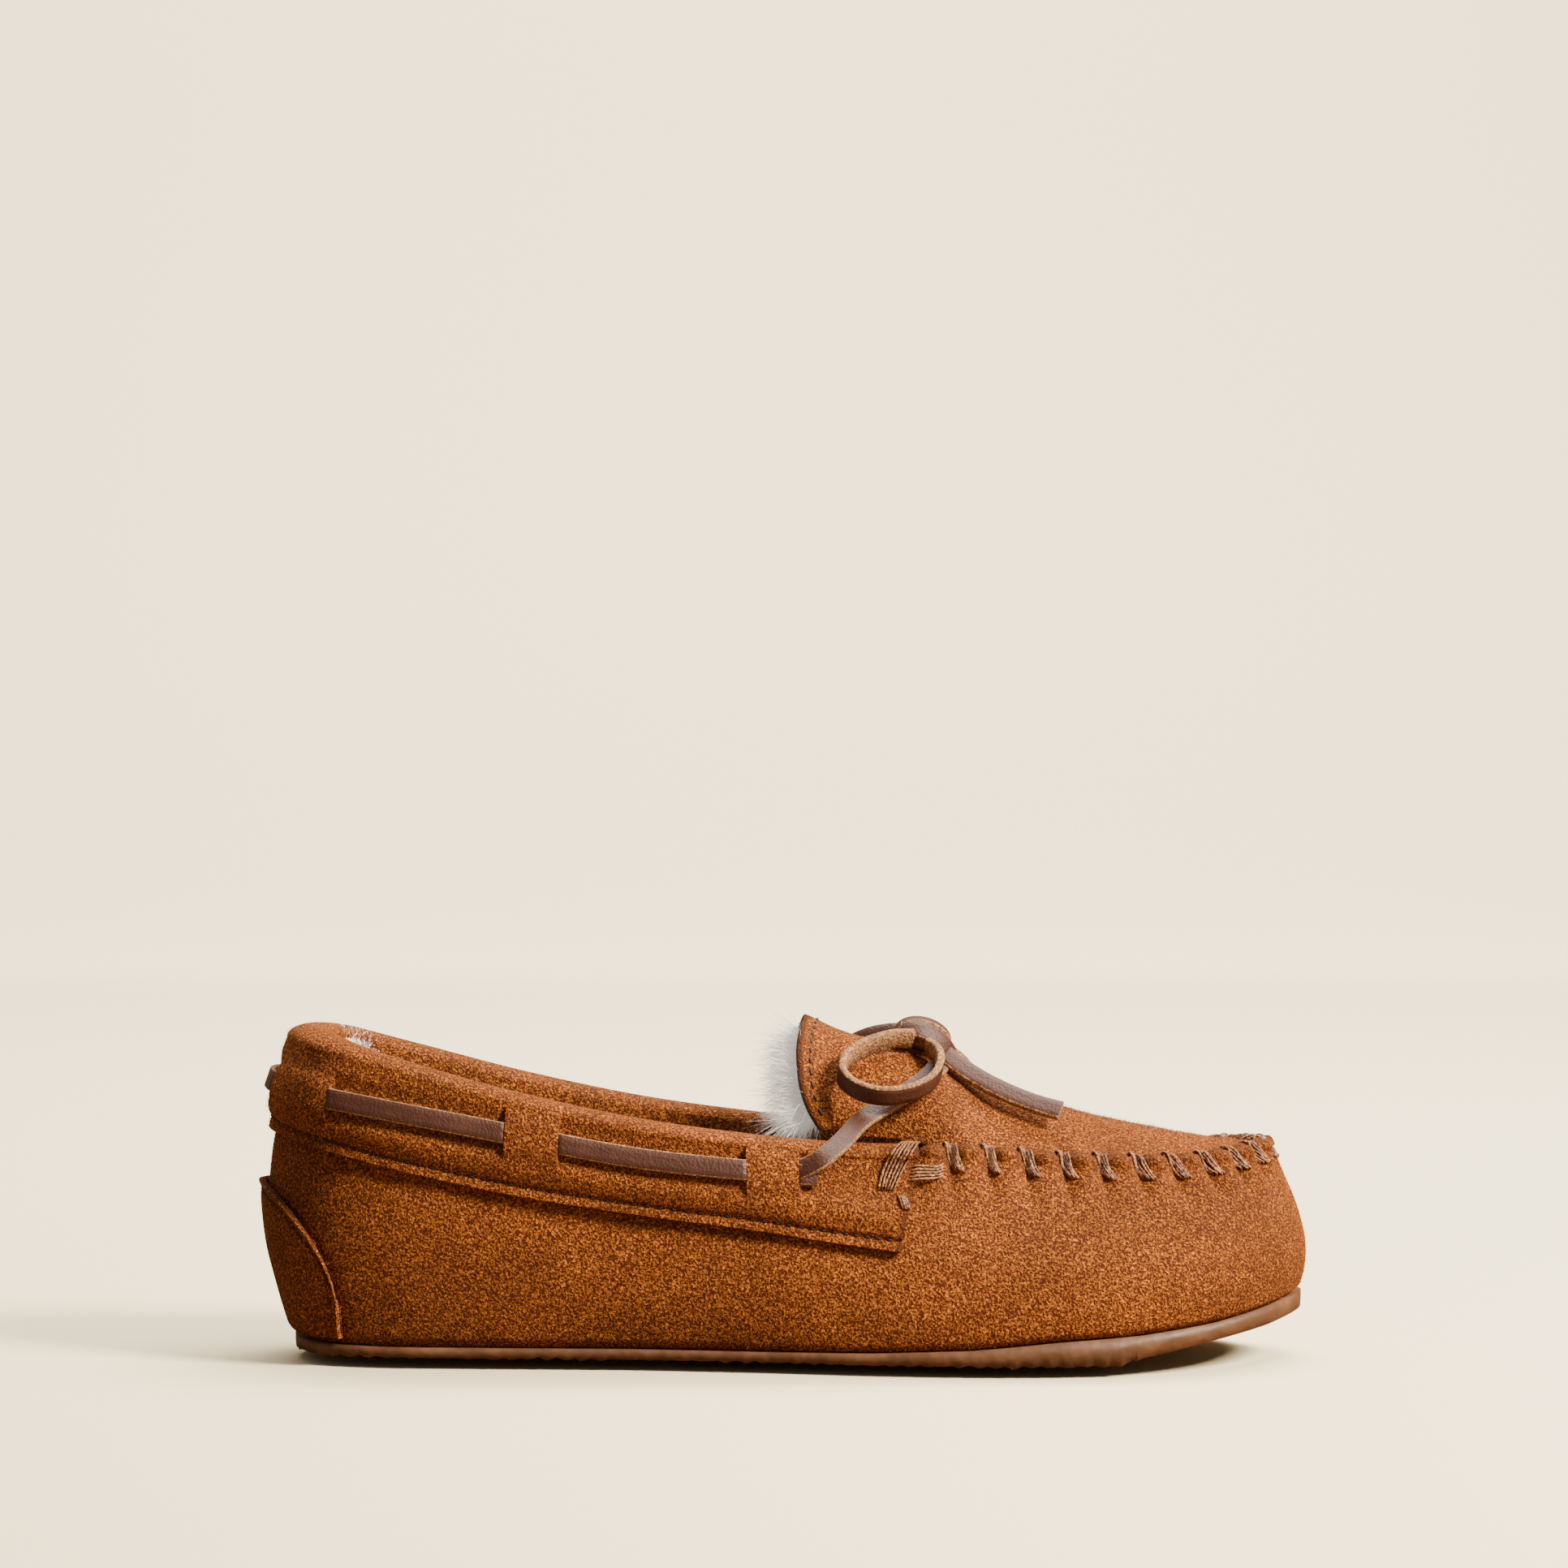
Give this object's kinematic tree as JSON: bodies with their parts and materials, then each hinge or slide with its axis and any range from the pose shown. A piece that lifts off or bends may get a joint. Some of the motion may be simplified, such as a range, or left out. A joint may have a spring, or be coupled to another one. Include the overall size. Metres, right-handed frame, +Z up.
{
  "type": "moccasin",
  "caption": "Suede moccasin slipper for the right foot, fur lined, with a padded laced collar, whip-stitched apron and thin rubber sole.",
  "frame": {"origin": "middle of the shoe's length and width, on the flat underside of the sole", "axes": "+X to the toe, +Y to the inner (medial) side, +Z up"},
  "size_m": [0.2552, 0.0891, 0.0806],
  "materials": {
    "suede": "brushed chestnut suede with a short nap",
    "fur": "cream white pile fur cloth",
    "leather_lace": "dark brown flat leather lace, smooth outer face",
    "thread": "waxed tan thread",
    "gum_rubber": "translucent amber gum rubber, matte",
    "fibre_board": "pressed fibre board",
    "foam": "open-cell foam"
  },
  "bodies": {
    "shoe": {"outsole": "gum_rubber", "insole_board": "fibre_board", "footbed_foam": "foam", "sock_fur": "fur", "body_wrap": "suede", "body_lining_fur": "fur", "heel_counter": "fibre_board", "heel_patch": "suede", "heel_patch_thread": "thread", "heel_collar": "suede", "collar_padding": "foam", "collar_seam_thread": "thread", "collar_tack_lateral": "thread", "collar_tack_medial": "thread", "lace": "leather_lace", "lace_span_lateral": "leather_lace", "lace_span_medial": "leather_lace", "apron": "suede", "apron_lining_fur": "fur", "apron_whip_thread": "thread"},
    "tongue": {"tongue": "suede", "tongue_fur": "fur", "tongue_edge_thread": "thread", "bow_knot": "leather_lace"},
    "loop_lateral": {"lace_loop_lateral": "leather_lace"},
    "loop_medial": {"lace_loop_medial": "leather_lace"},
    "tail_lateral": {"lace_tail_lateral": "leather_lace"},
    "tail_medial": {"lace_tail_medial": "leather_lace"}
  },
  "joints": [
    {"name": "tongue_lift", "type": "hinge", "parent": "shoe", "child": "tongue", "pos_m": [0.05056, 0.00146, 0.064], "axis": [0, 1, 0], "range_deg": [0, 18], "stiffness_Nm_per_rad": 0.12, "deforming": ["lace_span_lateral", "lace_span_medial"]},
    {"name": "loop_lateral_flop", "type": "hinge", "parent": "tongue", "child": "loop_lateral", "pos_m": [0.03306, -0.00494, 0.079], "axis": [-1, 0, 0], "range_deg": [0, 30], "stiffness_Nm_per_rad": 0.002},
    {"name": "loop_medial_flop", "type": "hinge", "parent": "tongue", "child": "loop_medial", "pos_m": [0.03306, 0.00786, 0.079], "axis": [1, 0, 0], "range_deg": [0, 30], "stiffness_Nm_per_rad": 0.002},
    {"name": "tail_lateral_lift", "type": "hinge", "parent": "tongue", "child": "tail_lateral", "pos_m": [0.04226, -0.00214, 0.0736], "axis": [0, -1, 0], "range_deg": [0, 18]},
    {"name": "tail_medial_lift", "type": "hinge", "parent": "tongue", "child": "tail_medial", "pos_m": [0.04226, 0.00506, 0.0734], "axis": [0, -1, 0], "range_deg": [0, 18]}
  ],
  "couplings": [
    {"joint": "tail_lateral_lift", "follows": "tongue_lift", "ratio": 1},
    {"joint": "tail_medial_lift", "follows": "tongue_lift", "ratio": 1}
  ]
}
